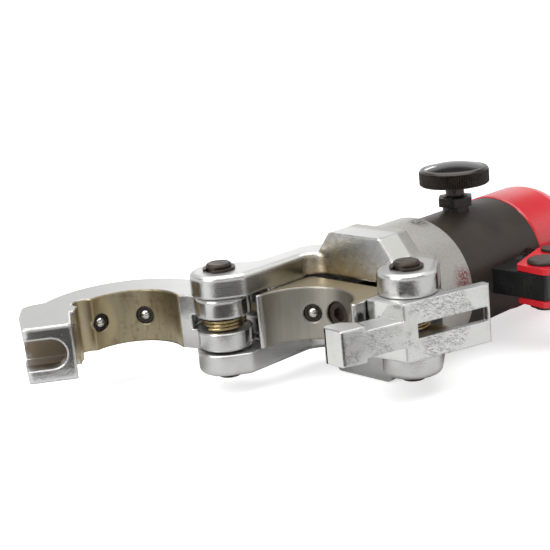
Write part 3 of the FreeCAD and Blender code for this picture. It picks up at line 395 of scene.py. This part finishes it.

# The nose's mouth is painted dark brown: brown metal with painted shade of the recess; its rims are rubbed
# bright.
nose_way = opening.to_3x3() @ Vector((-1.0, 0.0, 0.0))
nose_out = opening.to_3x3() @ Vector((0.0, 1.0, 0.0))
nose_face = jaw_place(-13.5, 35, 0).dot(nose_way)
nose_front = add_effect(tree, facing, vector, Direction=nose_way, Low=nose_face - 0.0040,
                        High=nose_face - 0.0032)
nose_lip = add_effect(tree, facing, vector, Direction=nose_way, Low=nose_face - 0.0012,
                      High=nose_face - 0.0004)
nose_back = add_effect(tree, facing, normal_of(vector), Direction=nose_out, Low=0.3, High=0.6)
nose_top = add_effect(tree, facing, vector, Direction=(0.0, 0.0, 1.0), Low=0.0082, High=0.0092)
nose_bottom = add_effect(tree, facing, vector, Direction=(0.0, 0.0, -1.0), Low=0.0082, High=0.0092)
nose_ends = calculation(tree, "ShaderNodeMath", "ADD", nose_top, nose_bottom).outputs[0]
mouth = add_effect(tree, spot, vector, Centre=jaw_place(3, 38, 0), Radius=0.015, Edge=0.006)
mouth = without(tree, mouth, nose_lip, nose_back, nose_ends)
# Painted shade: the mouth's dark brown holds the recess's shade as well as its brown colour.
tint(tree, shader, mouth, (0.19, 0.135, 0.075), 0.85)
roughen(tree, shader, mouth, 0.1, 0.4)
scooped = add_effect(tree, spot, vector, Centre=jaw_place(20, 22, 0), Radius=0.018, Edge=0.003)
near_seat = add_effect(tree, bore, vector, Centre=seat_centre, Radius=0.034)
level_side = add_effect(tree, facing, normal_of(vector), Low=0.3, High=0.6)
relief = without(tree, both(tree, scooped, near_seat), nose_front, level_side, mouth)
tint(tree, shader, relief, (0.40, 0.33, 0.20), 0.9)
roughen(tree, shader, relief, 0.1, 0.36)
rim_width = ramp(tree, both(tree, nose_front, nose_ends), 0.0, 1.0, 0.0016, 0.0028)
rim_width = both(tree, rim_width, ramp(tree, mouth, 0.0, 1.0, 1.0, 0.05))
tree.links.new(rim_width, tree.nodes["Bevel"].inputs["Radius"])
dress("jaw", jaw_nickel, 0.0008, 3)

# Latch lever: a short forged hook on the latch pin, nickel plated. Its T-shaped head drops into the
# jaw's nose, its tail takes the thumb, and its outer face is scratched by use.
scratches, start, end = effect_group("scratches", {"Spread": (1.0, 1.0, 1.0), "Width": 0.02,
                                                   "Patch": 60.0, "Low": 0.5, "High": 0.6}, "Mask")
drawn = calculation(scratches, "ShaderNodeVectorMath", "MULTIPLY", start.outputs["Vector"],
                    start.outputs["Spread"])
wander = scratches.nodes.new("ShaderNodeTexNoise")
wander.inputs["Scale"].default_value = 1.0
wander.inputs["Detail"].default_value = 4.0
wander.inputs["Roughness"].default_value = 0.7
scratches.links.new(drawn.outputs[0], wander.inputs["Vector"])
middle = calculation(scratches, "ShaderNodeMath", "SUBTRACT", wander.outputs["Fac"], 0.5)
thin = calculation(scratches, "ShaderNodeMath", "ABSOLUTE", middle.outputs[0])
mark = ramp(scratches, thin.outputs[0], 0.0, start.outputs["Width"], 1.0, 0.0)
patch = scratches.nodes.new("ShaderNodeTexNoise")
patch.inputs["Detail"].default_value = 2.0
scratches.links.new(start.outputs["Vector"], patch.inputs["Vector"])
scratches.links.new(start.outputs["Patch"], patch.inputs["Scale"])
worn_area = ramp(scratches, patch.outputs["Fac"], start.outputs["Low"], start.outputs["High"])
scratches.links.new(both(scratches, mark, worn_area), end.inputs["Mask"])

latch_nickel, tree, shader, vector = nickel("latch_nickel", (0.68, 0.68, 0.66), 0.08, 0.2,
                                            (260.0, 260.0, 260.0), (0.40, 0.40, 0.37))
slant = tree.nodes.new("ShaderNodeMapping")
slant.inputs["Rotation"].default_value = (0.0, math.radians(20), math.radians(18))
tree.links.new(vector, slant.inputs["Vector"])
outer = add_effect(tree, facing, normal_of(vector), Direction=(0.309, 0.951, 0.0), Low=0.85, High=0.97)
scored = add_effect(tree, scratches, slant.outputs["Vector"], Spread=(240.0, 560.0, 860.0),
                    Width=0.028, Patch=90.0, Low=0.42, High=0.60)
tint(tree, shader, both(tree, outer, scored), black_grease, 1.0)
roughen(tree, shader, outer, 0.12, 0.3)
window_floor = add_effect(tree, spot, vector, Centre=(-0.0398, 0.0436, -0.0034), Radius=0.005,
                          Edge=0.006)
tint(tree, shader, window_floor, (0.30, 0.20, 0.08), 0.9)

# The upright edges at both ends of the lever are well rounded.
latch_turn = Matrix.Rotation(math.radians(18), 3, "Z")
latch_middle = Vector((-0.0347, 0.0335, 0.0))
head_end = 0.0455
tail_end = -0.034
outer_half = 0.006
shortest = 0.008
latch = welded_copy("latch_lever")
bpy.ops.object.mode_set(mode="EDIT")
bpy.ops.mesh.select_mode(type="EDGE")
bpy.ops.mesh.select_all(action="DESELECT")
shape = bmesh.from_edit_mesh(latch.data)
for edge in shape.edges:
    first, last = (latch_turn @ (vertex.co - latch_middle) for vertex in edge.verts)
    upright = abs(first.z - last.z) > shortest and (first.xy - last.xy).length < 0.0002
    at_end = min(first.x, last.x) > head_end or max(first.x, last.x) < tail_end
    edge.select = upright and at_end and first.y > outer_half
bmesh.update_edit_mesh(latch.data)
bpy.ops.mesh.bevel(offset=0.0022, segments=4)
bpy.ops.object.mode_set(mode="OBJECT")
dress("latch_lever", latch_nickel, 0.0008, 3, piece=latch)

# Torsion springs: close coils of brass-coloured wire, pushed over the two pins. One opens the jaw,
# the other turns the latch.
spring_brass, tree, shader, vector = blank_material("spring_brass", (0.38, 0.30, 0.16), 1.0, 0.28)
film = add_effect(tree, stain, vector, Size=420.0, Low=0.4, High=0.7)
tint(tree, shader, film, (0.16, 0.11, 0.05), 0.7)
roughen(tree, shader, film, 0.22, 0.42)
for node in ("jaw_spring", "latch_spring"):
    dress(node, spring_brass)

# Ram head: forged block with a half-round seat, bored in line with the jaw's and plated. A dark
# socket screw from the seat's side holds it on the rod.
ram_nickel, tree, shader, vector = nickel("ram_nickel", (0.50, 0.50, 0.49), 0.14, 0.28,
                                          (380.0, 380.0, 200.0), (0.42, 0.40, 0.34))
ram_seat = add_effect(tree, bore, vector, Radius=seat_reach)
ram_streaks = add_effect(tree, grain, vector, Spread=(520.0, 520.0, 50.0))
# Painted reflection: the ram head's upward faces are tinted tan-gold, as the light on its top looks.
painted_top_reflection = add_effect(tree, facing, normal_of(vector), Low=0.45, High=0.8)
tint(tree, shader, painted_top_reflection, (0.42, 0.35, 0.22), 0.8)
tint(tree, shader, ram_seat, (0.36, 0.34, 0.30), 0.9)
tint(tree, shader, both(tree, ram_seat, ram_streaks), (0.24, 0.22, 0.17), 0.7)
roughen(tree, shader, ram_seat, 0.18, 0.36)
dress("ram_head", ram_nickel, 0.0007, 3)
dress("ram_screw", pin_dark, 0.0002)

# Spring balls: ground steel balls that hold the dies in both seats. Each sits with its spring in a
# black sleeve that is pressed into the seat; the valves' balls and the other springs are alike.
ground_steel, tree, shader, vector = blank_material("ground_steel", (0.50, 0.49, 0.46), 1.0, 0.12)
lapping = add_effect(tree, grain, vector, Spread=(900.0, 900.0, 900.0))
roughen(tree, shader, lapping, 0.06, 0.2)
for node in ("jaw_inner_ball", "jaw_outer_ball", "ram_left_ball", "ram_right_ball", "delivery_ball",
             "suction_ball"):
    dress(node, ground_steel)
sleeve_black, tree, shader, vector = blank_material("sleeve_black", (0.012, 0.011, 0.009), 0.4, 0.32)
soot = add_effect(tree, stain, vector, Size=500.0, Low=0.4, High=0.7)
tint(tree, shader, soot, (0.03, 0.026, 0.02), 0.8)
roughen(tree, shader, soot, 0.26, 0.45)
for node in ("jaw_detent_sleeves", "ram_detent_sleeves"):
    dress(node, sleeve_black, 0.0001)
for node in ("jaw_inner_detent_spring", "jaw_outer_detent_spring", "ram_left_detent_spring",
             "ram_right_detent_spring", "return_spring", "swivel_ring"):
    dress(node, ground_steel)

# Barrel: steel tube and pump block in one piece, blackened and lightly oiled. The lock nut, the
# lug for the moving handle and the handle's pins are blackened too.
barrel_black, tree, shader, vector = blank_material("barrel_black", (0.032, 0.025, 0.020), 0.1, 0.42)
shader.inputs["Specular IOR Level"].default_value = 0.3
turning = add_effect(tree, grain, vector, Spread=(2600.0, 60.0, 60.0))
haze = add_effect(tree, stain, vector, Size=45.0, Low=0.35, High=0.75)
tint(tree, shader, haze, (0.048, 0.039, 0.032), 0.8)
roughen(tree, shader, haze, 0.36, 0.5)
raise_surface(tree, shader, turning, 0.2, 0.00005)
dress("cylinder", barrel_black, 0.0004)
dress("lock_nut", sleeve_black, 0.0003)
for node in ("fulcrum_pin", "plunger_pin"):
    dress(node, barrel_black, 0.0003)
dress("handle_pin_clips", pin_dark, 0.0002)
lug_black, tree, shader, vector = blank_material("lug_black", (0.012, 0.012, 0.012), 0.2, 0.26)
wipe = add_effect(tree, stain, vector, Size=120.0, Low=0.4, High=0.8)
tint(tree, shader, wipe, (0.02, 0.02, 0.02), 0.6)
roughen(tree, shader, wipe, 0.26, 0.32)
dress("handle_lug", lug_black, 0.0008, 3)

# Red pump housing, handle tubes and the moving handle's fork: cast and drawn parts, all in thick
# gloss enamel. The fork's enamel is chipped by the pins.
enamel, tree, shader, vector = blank_material("red_enamel", (0.58, 0.020, 0.030), 0.0, 0.26)
shader.inputs["Coat Weight"].default_value = 0.35
shader.inputs["Coat Roughness"].default_value = 0.08
sag = add_effect(tree, stain, vector, Size=38.0, Low=0.3, High=0.7)
peel = add_effect(tree, stain, vector, Size=700.0, Low=0.2, High=0.8)
tint(tree, shader, sag, (0.50, 0.014, 0.022), 0.3)
roughen(tree, shader, sag, 0.2, 0.32)
raise_surface(tree, shader, peel, 0.12, 0.00008)
for node in ("pump_housing", "handle_tube", "reservoir_tube"):
    dress(node, enamel, 0.0008, 3)
chipped, tree, shader, vector = blank_material("chipped_enamel", (0.55, 0.018, 0.026), 0.0, 0.24)
chips = add_effect(tree, stain, vector, Size=240.0, Low=0.64, High=0.66)
tint(tree, shader, chips, (0.05, 0.035, 0.03), 0.9)
roughen(tree, shader, chips, 0.22, 0.5)
dress("handle_fork", chipped, 0.0009, 3)

# Grips: moulded black rubber sleeves pushed over the tubes, dusty from the floor. The seals and the
# oil bladder are of the same rubber.
grip_rubber, tree, shader, vector = blank_material("grip_rubber", (0.02, 0.02, 0.021), 0.0, 0.6)
pores = add_effect(tree, stain, vector, Size=1400.0, Low=0.3, High=0.7)
dust = add_effect(tree, stain, vector, Size=90.0, Low=0.45, High=0.8)
tint(tree, shader, dust, (0.05, 0.05, 0.05), 0.7)
roughen(tree, shader, dust, 0.5, 0.72)
raise_surface(tree, shader, pores, 0.35, 0.0001)
for node in ("moving_grip", "fixed_grip"):
    dress(node, grip_rubber, 0.0006)
for node in ("rod_seal", "piston_seal", "plunger_seal", "oil_bladder"):
    dress(node, grip_rubber, 0.0001)

# Release knob: turned from bar and blackened, with straight knurling on the lower part of its
# rim and a smooth rounded upper rim. The knurl is rolled in; a gloss cap is pressed in the top.
knob_steel, tree, shader, vector = blank_material("knob_steel", (0.030, 0.023, 0.018), 0.3, 0.34)
worn = add_effect(tree, stain, vector, Size=160.0, Low=0.4, High=0.75)
tint(tree, shader, worn, (0.060, 0.048, 0.038), 0.5)
roughen(tree, shader, worn, 0.26, 0.42)
knob_axis = (-0.1145, 0.0)
knurl_points = 184
knurl_from = 0.0439
knurl_to = 0.0499
knurl_share = 0.95
knob_profile = [(4.6, 37.7), (4.6, 43.2), (4.9, 43.4), (16.6, 43.4), (17.3, 44.0), (17.3, 44.3),
                (17.3, 49.5), (17.3, 49.8), (17.15, 50.5), (16.7, 51.1), (16.1, 51.5), (15.2, 51.6),
                (14.2, 51.6)]
bpy.ops.object.select_all(action="DESELECT")
bpy.ops.mesh.primitive_circle_add(vertices=knurl_points, radius=knob_profile[0][0] / 1000, fill_type="NGON",
                                  location=(*knob_axis, knob_profile[0][1] / 1000))
knob = bpy.context.object
knob.name = "knurled_knob"
bpy.ops.object.transform_apply(location=True, rotation=True, scale=True)
bpy.ops.object.mode_set(mode="EDIT")
bpy.ops.mesh.select_all(action="SELECT")
for (radius, level), (next_radius, next_level) in zip(knob_profile, knob_profile[1:]):
    rise = (next_level - level) / 1000
    share = next_radius / radius
    bpy.ops.mesh.extrude_region_move(TRANSFORM_OT_translate={"value": (0, 0, rise)})
    bpy.ops.transform.resize(value=(share, share, 1), center_override=(*knob_axis, next_level / 1000))
bpy.ops.mesh.select_all(action="DESELECT")
shape = bmesh.from_edit_mesh(knob.data)
for vertex in shape.verts:
    angle = math.atan2(vertex.co.y - knob_axis[1], vertex.co.x - knob_axis[0])
    valley = round(angle / (2 * math.pi) * knurl_points) % 2 == 0
    vertex.select = valley and knurl_from < vertex.co.z < knurl_to
shape.select_flush_mode()
bmesh.update_edit_mesh(knob.data)
bpy.ops.transform.resize(value=(knurl_share, knurl_share, 1),
                         center_override=(*knob_axis, knurl_to))
bpy.ops.mesh.select_all(action="SELECT")
bpy.ops.mesh.normals_make_consistent(inside=False)
bpy.ops.object.mode_set(mode="OBJECT")
bpy.ops.object.shade_smooth_by_angle(angle=math.radians(20))
knob.data.materials.append(knob_steel)
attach(knob, body_of["release_knob"])
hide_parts("release_knob")
cap_black, tree, shader, vector = blank_material("cap_black", (0.008, 0.007, 0.007), 0.0, 0.08)
wiped = add_effect(tree, stain, vector, Size=300.0, Low=0.3, High=0.8)
roughen(tree, shader, wiped, 0.06, 0.16)
dress("knob_cap", cap_black, 0.0002)

# Turned parts of the pump: the threaded bushing and the plunger's gland are blackened steel, the
# needle, plunger, piston rod and filler plug are ground bright.
dress("valve_bushing", sleeve_black, 0.0003)
dress("plunger_gland", sleeve_black, 0.0003)
for node in ("release_needle", "plunger", "piston_rod", "filler_plug"):
    dress(node, ground_steel, 0.0003)

# Floor and studio: a pale floor without end under one large soft ceiling light, a weak key
# light from the left, and a dark strip in front that only shows in the plated faces.
floor_gap = 0.0004
floor_glow = 0.62
strip_heading = math.radians(46)
strip_reach = 0.245
floor_level = cad_box[0][2] - floor_gap
bpy.ops.mesh.primitive_plane_add(size=160.0, location=(0.0, 0.0, floor_level))
floor = bpy.context.object
floor.name = "studio_floor"
floor_paint, tree, shader, vector = blank_material("floor_paint", (0.60, 0.60, 0.60), 0.0, 0.8)
paper = add_effect(tree, stain, vector, Size=12.0, Low=0.2, High=0.8)
roughen(tree, shader, paper, 0.76, 0.84)
shader.inputs["Emission Color"].default_value = (1.0, 1.0, 1.0, 1.0)
glow = tree.nodes.new("ShaderNodeLightPath")
tree.links.new(both(tree, glow.outputs["Is Camera Ray"], floor_glow), shader.inputs["Emission Strength"])
floor.data.materials.append(floor_paint)

bpy.ops.mesh.primitive_plane_add(size=1.0, location=(0.0, 0.0, 0.0))
strip = bpy.context.object
strip.name = "dark_strip"
strip.scale = (0.34, 0.26, 1.0)
strip.rotation_euler = (0.0, 0.0, strip_heading)
strip.location = (strip_reach * math.cos(strip_heading), strip_reach * math.sin(strip_heading),
                  floor_level + 0.001)
for ray in ("visible_camera", "visible_diffuse", "visible_shadow", "visible_transmission"):
    setattr(strip, ray, False)
strip_black = blank_material("strip_black", (0.02, 0.018, 0.016), 0.0, 0.9)[0]
strip.data.materials.append(strip_black)


def soft_light(name, place, target, width, height, watts):
    """Rectangular studio lamp turned to its target."""
    data = bpy.data.lights.new(name, "AREA")
    data.shape = "RECTANGLE"
    data.size = width
    data.size_y = height
    data.energy = watts
    lamp = bpy.data.objects.new(name, data)
    lamp.location = place
    lamp.visible_camera = False
    lamp.rotation_euler = (Vector(target) - Vector(place)).to_track_quat("-Z", "Y").to_euler()
    bpy.context.scene.collection.objects.link(lamp)


# The key comes from the left, and a small light behind puts the gleam on the knob's cap.
soft_light("key", (0.75, -0.10, 0.60), (0.0, 0.0, 0.0), 0.45, 0.45, 5.0)
soft_light("back", (-0.85, -0.95, 0.38), (-0.11, 0.0, 0.05), 0.32, 0.12, 0.5)

# The surroundings in bands of height: grey floor level, a dark band, then the bright ceiling.
world = bpy.data.worlds.new("studio")
bpy.context.scene.world = world
world.use_nodes = True
tree = world.node_tree
sky = tree.nodes["Background"]
direction = tree.nodes.new("ShaderNodeTexCoord")
height = tree.nodes.new("ShaderNodeSeparateXYZ")
bands = tree.nodes.new("ShaderNodeValToRGB")
rays = tree.nodes.new("ShaderNodeLightPath")
plain = tree.nodes.new("ShaderNodeMix")
plain.data_type = "RGBA"
stops = bands.color_ramp.elements
stops[0].position, stops[0].color = 0.0, (0.30, 0.30, 0.30, 1)
stops[1].position, stops[1].color = 1.0, (1.0, 1.0, 1.0, 1)
for position, level in ((0.46, 0.30), (0.58, 0.05), (0.76, 0.05), (0.84, 1.0)):
    stops.new(position).color = (level, level, level, 1)
tree.links.new(direction.outputs["Generated"], height.inputs["Vector"])
tree.links.new(height.outputs["Z"], bands.inputs["Fac"])
tree.links.new(bands.outputs["Color"], plain.inputs["A"])
plain.inputs["B"].default_value = (0.36, 0.36, 0.36, 1)
tree.links.new(rays.outputs["Is Camera Ray"], plain.inputs["Factor"])
tree.links.new(plain.outputs["Result"], sky.inputs["Color"])
sky.inputs["Strength"].default_value = 3.0
bpy.context.scene.view_settings.view_transform = "Standard"

# Camera, solved from the photo: a 78 mm lens 0.53 m away, 15 degrees above level and tilted a
# little to one side.
azimuth, elevation, roll = math.radians(137.07), math.radians(15.0), math.radians(5.54)
photo_width = 550
lens_in_pixels = 1196.15
camera_data = bpy.data.cameras.new("photo_camera")
camera_data.sensor_width = 36.0
camera_data.lens = lens_in_pixels / photo_width * camera_data.sensor_width
camera_data.clip_start = 0.01
camera_data.clip_end = 200.0
camera = bpy.data.objects.new("photo_camera", camera_data)
camera.location = (0.3522, 0.3647, 0.1620)
turn = (Matrix.Rotation(azimuth, 3, "Z") @ Matrix.Rotation(math.pi / 2 - elevation, 3, "X")
        @ Matrix.Rotation(-roll, 3, "Z"))
camera.rotation_euler = turn.to_euler()
bpy.context.scene.collection.objects.link(camera)
bpy.context.scene.camera = camera
